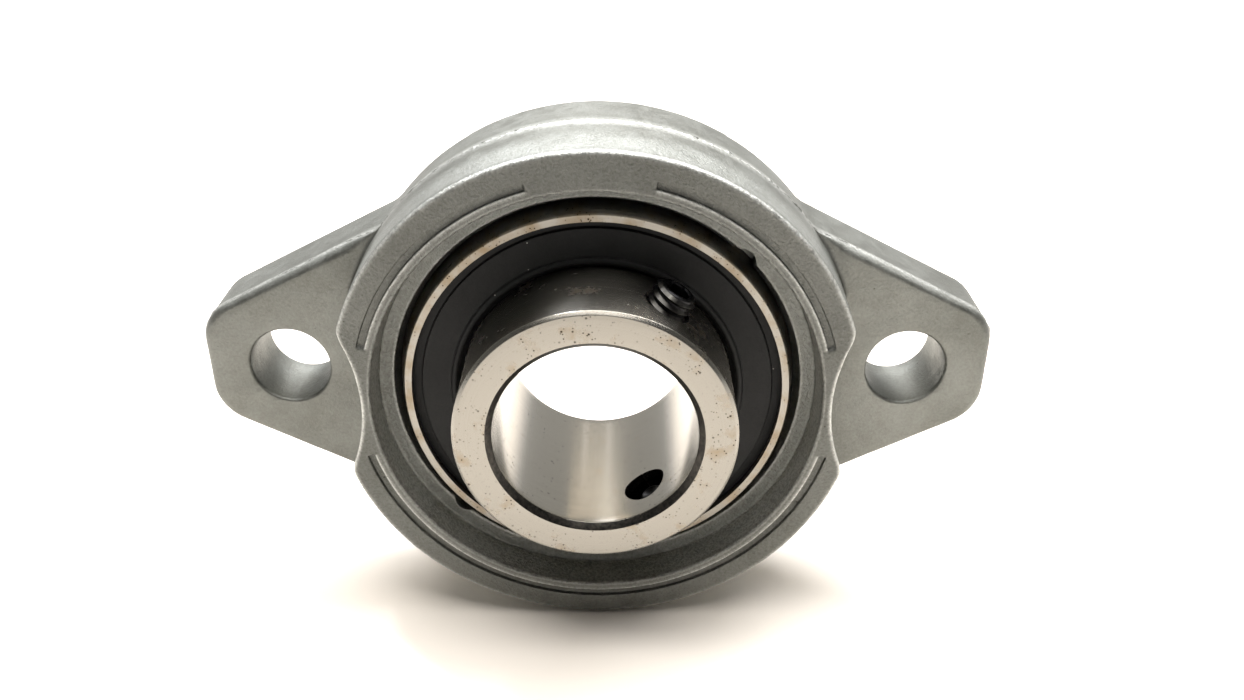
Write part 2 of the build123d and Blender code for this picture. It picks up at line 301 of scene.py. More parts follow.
def tumbled_zinc():
    """Die-cast zinc alloy, tumbled after casting.

    The eye sees a dull grey with a sandy grain, soft cloudy patches, small pits and rubbed bright edges,
    with painted light on the counterbore wall and the groove's inner edge and painted shade in the groove,
    on the shelf and at the foot of the body.
    """
    hues = colours()
    material, tree, shader, place = new_finish("tumbled_die_cast_zinc", Metallic=1.0)
    # Cold-flow clouds a few millimetres wide, then mottling, then the grain left by the tumbling chips
    cloud, mottle, grain = [
        add(tree, "TexNoise", {"Scale": scale, "Detail": 3.0, "Roughness": rough, "Vector": place})
        for scale, rough in ((per_mm(6.0), 0.6), (per_mm(1.3), 0.6), (1 / sizes().grain, 0.7))]
    height = add(tree, "SeparateXYZ", {"Vector": place}).outputs["Y"]
    # The body's face and shelf were not rubbed flat by the chips and stay grainier than the flange
    raw_skin = add(tree, "MapRange", {
        "Value": height, "From Min": -9 * MM, "From Max": -11 * MM, "To Min": 0.45})
    rough_grain = add(tree, "Math", {0: grain, 1: raw_skin}, operation="MULTIPLY")
    patches = add(tree, "Math", {0: cloud, 1: 0.4}, operation="MULTIPLY")
    for layer, share in ((mottle, 0.35), (rough_grain, 0.75)):
        patches = add(tree, "Math", {0: layer, 1: share, 2: patches}, operation="MULTIPLY_ADD")
    tone = add(tree, "MapRange", {"Value": patches, "From Min": 0.44, "From Max": 0.86})
    # Pores 0.1 mm across, opened by the tumbling
    pores = scattered(tree, place, 0.9, 0.11, 0.12)
    # The mesh carries how rubbed each edge is, with painted light, and the face's darker skin with painted
    # shade in recesses and corners
    wear_and_painted_light = add(tree, "Attribute", attribute_name="wear_and_painted_light", attribute_type="GEOMETRY")
    wear_and_light_channels = add(tree, "SeparateColor", {"Color": wear_and_painted_light.outputs["Color"]}).outputs
    torn = add(tree, "MapRange", {"Value": grain, "From Min": 0.38, "From Max": 0.6, "To Min": 0.4})
    # Pale coat: rubbed edges, with painted light on the counterbore wall and a painted highlight on the
    # groove's inner edge
    edge = add(tree, "Math", {0: wear_and_light_channels["Red"], 1: torn}, operation="MULTIPLY")
    dull = add(tree, "MapRange", {
        "Value": mottle, "From Min": 0.3, "From Max": 0.7, "To Min": 0.44, "To Max": 0.58})
    # The dark coat #33322e is the face's darker skin with painted shade on the shelf, in the groove and at
    # the foot of the body
    wire(tree, shader, {
        "Base Color": coated(tree, rgba(hues.zinc_dark), (tone, hues.zinc), (pores, "#5a5953"),
                             (edge, hues.zinc_worn_and_painted_light), (wear_and_light_channels["Green"], "#33322e")),
        "Roughness": dull,
        "Normal": relief(tree, (rough_grain, 1.0, 0.11), (mottle, 0.5, 0.09), (pores, 0.8, -0.05)),
    })
    return material


def ground_steel(name, roughness, mark_depth, stain_share, speck_share, marks=0.12, film_haze=0.2):
    """Bearing steel, hardened and ground.

    The eye sees a warm bright metal with fine rings from the wheel, freckles of rust and dried oil.
    """
    hues = colours()
    material, tree, shader, place = new_finish(name, Metallic=1.0)
    rings = turning_place(tree, place)
    # Wheel marks are a few microns apart in fact, and are drawn as wide as they need to show
    lines = add(tree, "TexNoise", {
        "Scale": per_mm(marks), "Detail": 4.0, "Roughness": 0.7, "Vector": rings}, noise_dimensions="2D")
    haze = add(tree, "TexNoise", {
        "Scale": per_mm(2.4), "Detail": 4.0, "Roughness": 0.65, "Vector": place})
    shade = add(tree, "MapRange", {"Value": lines, "From Min": 0.3, "From Max": 0.7, "To Max": 0.26})
    film = add(tree, "MapRange", {
        "Value": haze, "From Min": 1 - stain_share, "From Max": 1.25 - stain_share, "To Max": 0.75})
    # Freckles of rust 0.05 to 0.15 mm across, thicker where the film of oil is
    fine, coarse = [scattered(tree, place, *spread, speck_share) for spread in ((0.36, 0.24), (1.0, 0.13))]
    freckles = add(tree, "Math", {0: fine, 1: coarse}, operation="MAXIMUM")
    where = add(tree, "MapRange", {"Value": haze, "From Min": 0.42, "From Max": 0.58, "To Min": 0.12})
    spots = add(tree, "Math", {0: freckles, 1: where}, operation="MULTIPLY")
    dull = add(tree, "Math", {0: film, 1: film_haze, 2: roughness}, operation="MULTIPLY_ADD")
    wire(tree, shader, {
        "Base Color": coated(tree, rgba(hues.steel), (shade, "#7b776f"), (film, hues.steel_stain),
                             (spots, "#27221d")),
        "Roughness": add(tree, "Math", {0: lines, 1: 0.1, 2: dull}, operation="MULTIPLY_ADD"),
        "Normal": relief(tree, (lines, 0.6, mark_depth), (spots, 0.5, -0.01)),
    })
    return material


def nose_steel():
    """Ground steel whose marks all run round the nose.

    The eye sees light drawn out along the marks into a streak.
    """
    material = ground_steel("cylindrically_ground_steel", 0.2, 0.025, 0.42, 0.3)
    tree = material.node_tree
    shader = tree.nodes["Principled BSDF"]
    shader.inputs["Anisotropic"].default_value = 0.85
    shader.inputs["Anisotropic Rotation"].default_value = 0.25
    wire(tree, shader, {"Tangent": add(tree, "Tangent", direction_type="RADIAL", axis="Y")})
    return material


def moulded_rubber():
    """Nitrile rubber, compression moulded.

    The eye sees a flat charcoal sheet with a faint sheen, a spark-eroded texture and mould rings.
    """
    material, tree, shader, place = new_finish("moulded_nitrile_rubber", IOR=1.42, Specular_IOR_Level=0.3)
    rings = turning_place(tree, place)
    grain = add(tree, "TexNoise", {"Scale": per_mm(0.16), "Vector": place})
    bloom = add(tree, "TexNoise", {"Scale": per_mm(3.5), "Detail": 3.0, "Vector": place})
    mould = add(tree, "TexNoise", {"Scale": per_mm(0.35), "Vector": rings}, noise_dimensions="2D")
    tone = add(tree, "MapRange", {"Value": bloom, "From Min": 0.35, "From Max": 0.7})
    dust = scattered(tree, place, 1.4, 0.06, 0.2)
    dull = add(tree, "MapRange", {
        "Value": grain, "From Min": 0.3, "From Max": 0.7, "To Min": 0.5, "To Max": 0.62})
    wire(tree, shader, {
        "Base Color": coated(tree, rgba(colours().rubber), (tone, "#161717"), (dust, "#8a8a84")),
        "Roughness": dull,
        "Normal": relief(tree, (grain, 0.5, 0.02), (mould, 0.4, 0.02)),
    })
    return material


def blackened_steel():
    """Alloy steel, rolled thread, black oxide.

    The eye sees an oily near-black with satin glints, rubbed to bare metal on the crests.
    """
    material, tree, shader, place = new_finish("black_oxide_steel", Metallic=1.0)
    patches = add(tree, "TexNoise", {
        "Scale": per_mm(0.5), "Detail": 4.0, "Roughness": 0.65, "Vector": place})
    tone = add(tree, "MapRange", {"Value": patches, "From Min": 0.35, "From Max": 0.7})
    point = add(tree, "NewGeometry").outputs["Pointiness"]
    crest = add(tree, "Math", {0: patches, 1: 0.12, 2: point}, operation="MULTIPLY_ADD")
    rubbed = add(tree, "MapRange", {"Value": crest, "From Min": 0.64, "From Max": 0.74, "To Max": 0.5})
    dull = add(tree, "MapRange", {
        "Value": patches, "From Min": 0.3, "From Max": 0.7, "To Min": 0.26, "To Max": 0.42})
    wire(tree, shader, {
        "Base Color": coated(tree, rgba("#1c1c1d"), (tone, colours().oxide), (rubbed, "#77756f")),
        "Roughness": dull,
        "Normal": relief(tree, (patches, 0.4, 0.015)),
    })
    return material


def heat_scale():
    """Bearing steel, turned before hardening and left unground, with its heat-treatment scale.

    The eye sees a dark, almost black ring round the bright ground faces.
    """
    material, tree, shader, place = new_finish("heat_scaled_chamfer_steel", Metallic=1.0)
    rings = turning_place(tree, place)
    scale = add(tree, "TexNoise", {
        "Scale": per_mm(0.4), "Detail": 4.0, "Roughness": 0.7, "Vector": place})
    cuts = add(tree, "TexNoise", {"Scale": per_mm(0.1), "Vector": rings}, noise_dimensions="2D")
    tone = add(tree, "MapRange", {"Value": scale, "From Min": 0.35, "From Max": 0.75})
    wire(tree, shader, {
        "Base Color": coated(tree, rgba("#2b2a29"), (tone, "#4d4a45")),
        "Roughness": add(tree, "MapRange", {"Value": scale, "To Min": 0.3, "To Max": 0.5}),
        "Normal": relief(tree, (cuts, 0.5, 0.01)),
    })
    return material


def pressed_steel(name, light, dark, roughness):
    """Low-carbon strip, pressed and barrel finished.

    The eye sees a soft grey sheet metal with fine scuffs in every direction and a thin film of grease.
    """
    material, tree, shader, place = new_finish(name, Metallic=1.0)
    scuff = add(tree, "TexNoise", {
        "Scale": per_mm(0.3), "Detail": 5.0, "Roughness": 0.75, "Distortion": 1.2, "Vector": place})
    grease = add(tree, "TexNoise", {"Scale": per_mm(1.8), "Vector": place})
    tone = add(tree, "MapRange", {"Value": scuff, "From Min": 0.3, "From Max": 0.7})
    film = add(tree, "MapRange", {"Value": grease, "From Min": 0.5, "From Max": 0.75, "To Max": 0.4})
    dull = add(tree, "Math", {0: scuff, 1: 0.14, 2: roughness}, operation="MULTIPLY_ADD")
    wire(tree, shader, {
        "Base Color": coated(tree, rgba(dark), (tone, light), (film, "#6f6248")),
        "Roughness": dull,
        "Normal": relief(tree, (scuff, 0.4, 0.01)),
    })
    return material


def lapped_steel():
    """Chrome steel balls, hardened and lapped.

    The eye sees a near mirror, barely broken by hairline marks and a trace of grease.
    """
    material, tree, shader, place = new_finish("lapped_chrome_steel", Metallic=1.0)
    smear = add(tree, "TexNoise", {
        "Scale": per_mm(1.2), "Detail": 4.0, "Roughness": 0.6, "Vector": place})
    hair = add(tree, "TexNoise", {
        "Scale": per_mm(0.25), "Detail": 3.0, "Distortion": 3.0, "Vector": place})
    tone = add(tree, "MapRange", {"Value": smear, "From Min": 0.4, "From Max": 0.75, "To Max": 0.35})
    dull = add(tree, "MapRange", {
        "Value": smear, "From Min": 0.4, "From Max": 0.7, "To Min": 0.05, "To Max": 0.16})
    wire(tree, shader, {
        "Base Color": coated(tree, rgba("#d2d1cd"), (tone, "#a39b88")),
        "Roughness": dull,
        "Normal": relief(tree, (hair, 0.15, 0.002)),
    })
    return material


def matt_card():
    """White card, uncoated.

    The eye sees an even, shadowless white with the faintest warm tooth.
    """
    material, tree, shader, place = new_finish("uncoated_white_card", Roughness=0.9, Specular_IOR_Level=0.15)
    tooth = add(tree, "TexNoise", {"Scale": per_mm(0.6), "Vector": place})
    away = add(tree, "VectorMath", {0: place}, operation="LENGTH").outputs["Value"]
    fade = add(tree, "MapRange", {"Value": away, "From Min": 60 * MM, "From Max": 220 * MM})
    # Far from the unit the card is lit evenly, so that it meets the backdrop without a line
    far = add(tree, "MapRange", {
        "Value": away, "From Min": 110 * MM, "From Max": 420 * MM, "To Max": 0.95},
        interpolation_type="SMOOTHSTEP")
    wire(tree, shader, {
        "Base Color": coated(tree, rgba(colours().floor), (fade, "#b4b1ad")),
        "Emission Color": (1, 1, 1, 1),
        "Emission Strength": far,
        "Normal": relief(tree, (tooth, 0.1, 0.01)),
    })
    return material


# Mesh tools


def in_scene(name, data):
    """A new object of the scene that holds this data."""
    made = bpy.data.objects.new(name, data)
    bpy.context.scene.collection.objects.link(made)
    return made


def evaluated(host):
    """A plain mesh of what an object's modifiers make of it."""
    return bpy.data.meshes.new_from_object(host.evaluated_get(bpy.context.evaluated_depsgraph_get()))


def paint(node, material):
    """Puts a material in every slot of a node."""
    for slot in node.material_slots:
        slot.material = material


def vectors(items, name):
    """The vectors that the items of a mesh hold under a name, one to a row."""
    flat = np.empty(len(items) * 3)
    items.foreach_get(name, flat)
    return flat.reshape(-1, 3)


def quarter(steps, first=0):
    """The cosine and the sine at each step of a quarter turn."""
    turns = [math.pi / 2 * step / steps for step in range(first, steps + 1)]
    return [(math.cos(turn), math.sin(turn)) for turn in turns]


def show(name, mesh, materials, angle=32):
    """An object at the origin for a finished mesh, smooth but for edges sharper than this angle."""
    mesh.materials.clear()
    for material in materials:
        mesh.materials.append(material)
    mesh.shade_smooth()
    mesh.set_sharp_from_angle(angle=math.radians(angle))
    return in_scene(name, mesh)


def grid_mesh(name, points, smallest=0.0015):
    """A closed mesh from a grid of points, turning round both ways, in millimetres."""
    rows, columns = points.shape[:2]
    first = np.arange(rows)[:, None] * columns
    after = (np.arange(rows)[:, None] + 1) % rows * columns
    here = np.arange(columns)[None, :]
    beyond = (here + 1) % columns
    faces = np.stack([first + here, first + beyond, after + beyond, after + here], axis=-1).reshape(-1, 4)
    mesh = bpy.data.meshes.new(name)
    mesh.from_pydata((points.reshape(-1, 3) * MM).tolist(), [], faces.tolist())
    tidy(mesh, smallest)
    return mesh


def tidy(mesh, smallest=0.0015):
    """Merges points that coincide and turns every face outwards."""
    work = bmesh.new()
    work.from_mesh(mesh)
    bmesh.ops.remove_doubles(work, verts=work.verts, dist=smallest * MM)
    bmesh.ops.recalc_face_normals(work, faces=work.faces)
    work.to_mesh(mesh)
    work.free()


def rounded(corners, steps=4):
    """A closed outline of (radius, height, round) corners, each corner replaced by an arc of its round."""
    outline = []
    count = len(corners)
    for index, (radius, height, fillet) in enumerate(corners):
        corner = np.array([radius, height])
        before = np.array(corners[index - 1][:2]) - corner
        after = np.array(corners[(index + 1) % count][:2]) - corner
        if fillet <= 0:
            outline.append(corner)
            continue
        before = before / np.linalg.norm(before)
        after = after / np.linalg.norm(after)
        half = math.acos(np.clip(before @ after, -1, 1)) / 2
        reach = fillet / math.tan(half)
        centre = corner + (before + after) / np.linalg.norm(before + after) * fillet / math.sin(half)
        start = corner + before * reach - centre
        end = corner + after * reach - centre
        first = math.atan2(start[1], start[0])
        sweep = (math.atan2(end[1], end[0]) - first + math.pi) % (2 * math.pi) - math.pi
        for step in range(steps + 1):
            turn = first + sweep * step / steps
            outline.append(centre + fillet * np.array([math.cos(turn), math.sin(turn)]))
    return outline


def divided(outline, longest):
    """The same closed outline with extra points, so that no side is longer than this."""
    result = []
    for index, point in enumerate(outline):
        following = outline[(index + 1) % len(outline)]
        parts = max(1, math.ceil(np.linalg.norm(following - point) / longest))
        result += [point + (following - point) * part / parts for part in range(parts)]
    return result


def turned(name, outline, segments):
    """A ring turned about the bearing axis from a closed outline of (radius, height) points."""
    angles = np.linspace(0, 2 * math.pi, segments, endpoint=False)
    shape = np.array(outline)
    points = np.empty((segments, len(shape), 3))
    points[:, :, 0] = np.cos(angles)[:, None] * shape[None, :, 0]
    points[:, :, 1] = -shape[None, :, 1]
    points[:, :, 2] = np.sin(angles)[:, None] * shape[None, :, 0]
    return grid_mesh(name, points)


def spindle(name, outline, segments, place):
    """A solid turned about its own Z axis from (radius, z) points that start and end on the axis."""
    angles = np.linspace(0, 2 * math.pi, segments, endpoint=False)
    work = bmesh.new()
    rows = []
    for radius, height in outline:
        if radius == 0:
            rows.append([work.verts.new((0, 0, height * MM))] * segments)
            continue
        radii = radius(angles) if callable(radius) else np.full(segments, radius)
        rows.append([work.verts.new((r * math.cos(a) * MM, r * math.sin(a) * MM, height * MM))
                     for r, a in zip(radii, angles)])
    for low, high in zip(rows, rows[1:]):
        for index in range(segments):
            following = (index + 1) % segments
            corners = [low[index], low[following], high[following], high[index]]
            work.faces.new(list(dict.fromkeys(corners)))
    bmesh.ops.recalc_face_normals(work, faces=work.faces)
    work.transform(place)
    mesh = bpy.data.meshes.new(name)
    work.to_mesh(mesh)
    work.free()
    return mesh


def carve(mesh, cutters):
    """The mesh with each cutter mesh taken away."""
    target = in_scene("carved", mesh)
    tools = [in_scene("cutter", cutter) for cutter in cutters]
    for tool in tools:
        change = target.modifiers.new("cut", "BOOLEAN")
        change.operation = "DIFFERENCE"
        change.solver = "MANIFOLD"
        change.object = tool
    result = evaluated(target)
    for used in [target] + tools:
        bpy.data.objects.remove(used)
    return result


def grown(name, host_mesh, tree, values):
    """The plain mesh that a geometry tree makes from a host mesh, with named input values."""
    host = in_scene(name + "_host", host_mesh)
    change = host.modifiers.new("grow", "NODES")
    change.node_group = tree
    for item in tree.interface.items_tree:
        if item.item_type == "SOCKET" and item.in_out == "INPUT" and item.name in values:
            change[item.identifier] = values[item.name]
    bpy.context.view_layer.update()
    result = evaluated(host)
    host.modifiers.remove(change)
    bpy.data.objects.remove(host)
    result.name = name
    return result


def geometry_tree(name, inputs):
    """An empty geometry tree with a geometry input, the named inputs and a geometry output."""
    tree = bpy.data.node_groups.new(name, "GeometryNodeTree")
    tree.interface.new_socket("Geometry", in_out="INPUT", socket_type="NodeSocketGeometry")
    for title, kind in inputs.items():
        tree.interface.new_socket(title, in_out="INPUT", socket_type=kind)
    tree.interface.new_socket("Geometry", in_out="OUTPUT", socket_type="NodeSocketGeometry")
    return tree, add(tree, "NodeGroupInput").outputs


def finished(tree, geometry, material):
    """Ends a geometry tree: instances made real, the material set, the result put out."""
    real = add(tree, "GeometryNodeRealizeInstances", {"Geometry": geometry})
    painted = add(tree, "GeometryNodeSetMaterial", {"Geometry": real, "Material": material})
    add(tree, "NodeGroupOutput", {"Geometry": painted})
    return tree


# Housing


def soft_less(first, second, blend):
    """The smaller of two values, with the corner between them blended."""
    share = np.clip(0.5 + 0.5 * (second - first) / blend, 0, 1)
    return second * (1 - share) + first * share - blend * share * (1 - share)


def soft_more(first, second, blend):
    """The larger of two values, with the corner between them blended."""
    return -soft_less(-first, -second, blend)


def body_radius(height):
    """Radius of the drafted body at a height."""
    return np.interp(height, [0, FLANGE_H, FACE_H], [BODY_R_BACK, BODY_R_PARTING, BODY_R_FACE - 0.02])


def flange_radius(folded):
    """Distance from the bearing axis to the flange's outline, at angles from the bolt line."""
    slope_normal = math.pi / 2 - FLANGE_SIDE_ANGLE
    # Straight lines end well before they would run off to infinity
    sane = np.minimum(folded, 1.3)
    side = FLANGE_SIDE_REACH * math.cos(FLANGE_SIDE_ANGLE) / np.cos(sane - slope_normal)
    end = FLANGE_HALF / np.cos(sane)
    end_reach = FLANGE_SIDE_REACH - FLANGE_HALF * math.tan(FLANGE_SIDE_ANGLE)
    corner_x = FLANGE_HALF - FLANGE_CORNER_R
    corner_z = end_reach - FLANGE_CORNER_R / math.tan((math.pi / 2 + FLANGE_SIDE_ANGLE) / 2)
    across = corner_x * np.sin(folded) - corner_z * np.cos(folded)
    along = corner_x * np.cos(folded) + corner_z * np.sin(folded)
    corner = along + np.sqrt(np.maximum(FLANGE_CORNER_R**2 - across**2, 0))
    first = math.atan2(corner_z, FLANGE_HALF)
    last = math.atan2(corner_z + FLANGE_CORNER_R * math.sin(slope_normal),
                      corner_x + FLANGE_CORNER_R * math.cos(slope_normal))
    outline = np.where(folded < first, end, np.where(folded < last, corner, side))
    return np.where(folded < FLANGE_END_TURN, outline, FLANGE_DISC_R)


def scoop_reach(folded):
    """Distance from the bearing axis to the relief beside a bolt, far out where there is none."""
    inside = SCOOP_R**2 - (SCOOP_CENTRE * np.sin(folded)) ** 2
    return np.where(inside > 0, SCOOP_CENTRE * np.cos(folded) - np.sqrt(np.maximum(inside, 0)), FAR_OUT)


def groove_mask(angles):
    """1 where the face groove runs and 0 where it stops."""
    degrees = np.degrees(angles) % 360
    mask = np.zeros_like(angles)
    for start, end in GROOVE_ARCS:
        mask = np.maximum(mask, np.clip(np.minimum(degrees - start, end - degrees) / 0.4, 0, 1))
    return mask


def notch_reach(angles):
    """Radius to which the lip notches cut, or 0 away from them."""
    reach = np.zeros_like(angles)
    for middle in NOTCH_ANGLES:
        off = (angles - math.radians(middle) + math.pi) % (2 * math.pi) - math.pi
        inside = NOTCH_R**2 - (NOTCH_CENTRE_R * np.sin(off)) ** 2
        cut = NOTCH_CENTRE_R * np.cos(off) + np.sqrt(np.maximum(inside, 0))
        reach = np.maximum(reach, np.where((inside > 0) & (np.cos(off) > 0), cut, 0))
    return reach


def torn_edge(angles, seed, width, low, high):
    """A ragged run of values round the part, with bites about this many degrees wide."""
    values = []
    for angle in angles:
        turn = math.radians(width)
        spot = Vector((math.cos(angle) / turn, math.sin(angle) / turn, seed))
        values.append(noise.fractal(spot, 1.0, 2.0, 3))
    values = np.array(values)
    return low + (high - low) * np.clip(0.5 + 0.75 * values, 0, 1)


def casting_points(angles):
    """The grid of points of the casting: one closed section of (radius, height) for each angle."""
    spec = sizes()
    folded = np.arctan2(np.abs(np.sin(angles)), np.abs(np.cos(angles)))
    scoop = scoop_reach(folded)
    outline = flange_radius(folded)
    notch = notch_reach(angles)
    groove = groove_mask(angles) * spec.groove_depth / MM
    slot = np.abs(SLOT_R * np.cos(angles)) < SLOT_HALF
    none = np.zeros_like(angles)
    section = []

    def point(radius, height):
        section.append((radius + none, height + none))

    def upper(height):
        return soft_less(body_radius(height) + none, scoop, 0.7)

    def side(height):
        return soft_more(outline, body_radius(height) + none, 0.35)

    # Back bore, with the two loading slots, and the spherical seat
    back = np.where(slot, SLOT_R, BACK_BORE_R)
    point(back + 0.2, 0)
    point(back, 0.2)
    point(back, 1.2)
    point(back, 2.2)
    for height in (3.2, 3.8, 4.5, 5.3, 6.1, 6.97, 7.03, 7.9, 8.6, NOTCH_FLOOR - 0.03, NOTCH_FLOOR + 0.03,
                   9.8):
        seat = math.sqrt(SEAT_R**2 - (height - SEAT_CENTRE) ** 2)
        radius = np.where(slot & (height < SEAT_CENTRE), SLOT_R, seat)
        point(np.maximum(radius, notch) if height > NOTCH_FLOOR else radius, height)
    # Mouth of the seat, the shelf and the wall of the counterbore
    for radius, height in ((MOUTH_R, 10.45), (MOUTH_R + 0.02, SHELF_H - 0.13),
                           (MOUTH_R + 0.06, SHELF_H - 0.04)):
        point(np.maximum(radius, notch), height)
    point(np.maximum(MOUTH_R + 0.15, notch + 0.08), SHELF_H)
    for radius in (18.05, 18.32, 18.6, 18.85):
        point(np.maximum(radius, notch + 0.1), SHELF_H)
    for radius, height in ((19.02, 10.88), (19.11, 10.96), (19.155, 11.1), (19.17, 11.5), (19.2, 12.1),
                           (19.23, 12.7), (19.27, 13.3), (19.31, 13.7), (19.345, 13.86), (19.42, 13.96),
                           (LAND_IN_R, 14.0)):
        point(radius, height)
    # Face with its groove, squeezed where the relief beside the bolts makes it narrow
    edge_round = spec.body_edge / MM
    limit = upper(FACE_H) - edge_round
    end = np.minimum(limit, LAND_OUT_R)

    def squeezed(radius):
        return LAND_IN_R + (radius - LAND_IN_R) * (end - LAND_IN_R) / (LAND_OUT_R - LAND_IN_R)

    inner, outer = GROOVE_R - GROOVE_HALF, GROOVE_R + GROOVE_HALF
    for radius, share in ((19.7, 0), (19.9, 0), (inner - 0.07, 0), (inner, 0.1), (inner + 0.07, 0.9),
                          (inner + 0.2, 1), (GROOVE_R, 1), (outer - 0.2, 1), (outer - 0.07, 0.9),
                          (outer, 0.1), (outer + 0.07, 0), (21.05, 0)):
        point(squeezed(radius), FACE_H - groove * share)
    start = squeezed(21.15)
    for share in (0.2, 0.45, 0.7, 0.9, 1.0):
        point(start + (limit - start) * share, FACE_H)
    for cosine, sine in quarter(5, 1):
        height = FACE_H - edge_round * (1 - cosine)
        point(upper(height) - edge_round * (1 - sine), height)
    # Side of the body down to its foot on the flange
    gap = np.maximum(side(FLANGE_H) - upper(FLANGE_H), 0)
    foot = np.minimum(spec.foot / MM, 0.4 * gap)
    for height in (13.1, 12.4, 11.5, 10.5, 9.6, 8.8, 8.1):
        point(upper(height), height)
    for cosine, sine in quarter(4):
        point(upper(FLANGE_H) + foot * (1 - cosine), FLANGE_H + foot * (1 - sine))
    # Front of the flange, its rounded edge and the torn flash on the parting line
    bend = np.minimum(spec.flange_edge / MM, 0.55 * gap)
    first = upper(FLANGE_H) + foot
    last = side(FLANGE_H) - bend
    for step in range(1, 12):
        point(first + (last - first) * step / 11, FLANGE_H)
    for cosine, sine in quarter(6, 1):
        point(last + bend * sine, FLANGE_H - bend * (1 - cosine))
    flash = torn_edge(angles, 3.7, 1.1, 0.0, 2.0) * spec.flash / MM
    bite = torn_edge(angles, 9.1, 0.8, -0.05, 0.05)
    parting = FLANGE_H - bend - 0.05 + bite
    point(side(FLANGE_H) + 0.01, parting)
    point(side(FLANGE_H) + flash, parting - 0.07)
    point(side(FLANGE_H) + 0.5 * flash, parting - 0.14)
    point(side(FLANGE_H - 0.2), parting - 0.26)
    # Drafted side, back edge and mounting face
    for height in (5.4, 4.4, 3.3, 2.2, 1.2, 0.35):
        point(side(height), height)
    back_edge = side(0)
    for cosine, sine in quarter(3, 1):
        point(back_edge - 0.3 * (1 - cosine), 0.3 * (1 - sine))
    for share in (0.12, 0.25, 0.38, 0.52, 0.66, 0.8, 0.92):
        point(back_edge - 0.3 + (back + 0.2 - back_edge + 0.3) * share, 0)
    radius, height = np.stack(section, axis=-1)
    cosines, sines = np.cos(angles)[:, None], np.sin(angles)[:, None]
    return np.stack([radius * cosines, -height, radius * sines], axis=-1)


def roughen(mesh, depth):
    """Moves the cast skin in and out in waves, all but the seat and the mounting face."""
    waves = ((0.35, 0.9), (1.4, 0.5), (3.3, 0.35))
    normals = vectors(mesh.vertex_normals, "vector")
    places = vectors(mesh.vertices, "co")
    for index, place in enumerate(places / MM):
        where = Vector(place)
        wander = sum(noise.noise(where * pitch) * share for pitch, share in waves)
        clear_of_seat = min(1, max(0, (math.hypot(where.x, where.z) - SMOOTH_R) / 0.6))
        fit = clear_of_seat * min(1, max(0, -where.y / 0.4))
        places[index] += normals[index] * (wander * depth * fit)
    mesh.vertices.foreach_set("co", places.ravel())
    mesh.update()


def bolt_cutter(side):
    """A bolt hole with a rounded mouth at each end, as a mesh to take away."""
    lip = 0.35
    outline = [(0, -1), (BOLT_HOLE_R + 2 * lip, -1)]
    outline += [(BOLT_HOLE_R + lip * (1 - sine), lip * (1 - cosine) - 0.02) for cosine, sine in quarter(6)]
    outline += [(BOLT_HOLE_R, height) for height in (1.5, 2.7, 3.9, 5.1)]
    outline += [(BOLT_HOLE_R + lip * (1 - cosine), FLANGE_H - lip * (1 - sine) + 0.02)
                for cosine, sine in quarter(6)]
    outline += [(BOLT_HOLE_R + 2 * lip, FLANGE_H + 1), (0, FLANGE_H + 1)]
    place = Matrix.Translation((side * BOLT_X * MM, 0, 0)) @ Matrix.Rotation(math.pi / 2, 4, "X")
    return spindle("bolt_hole", outline, 128, place)


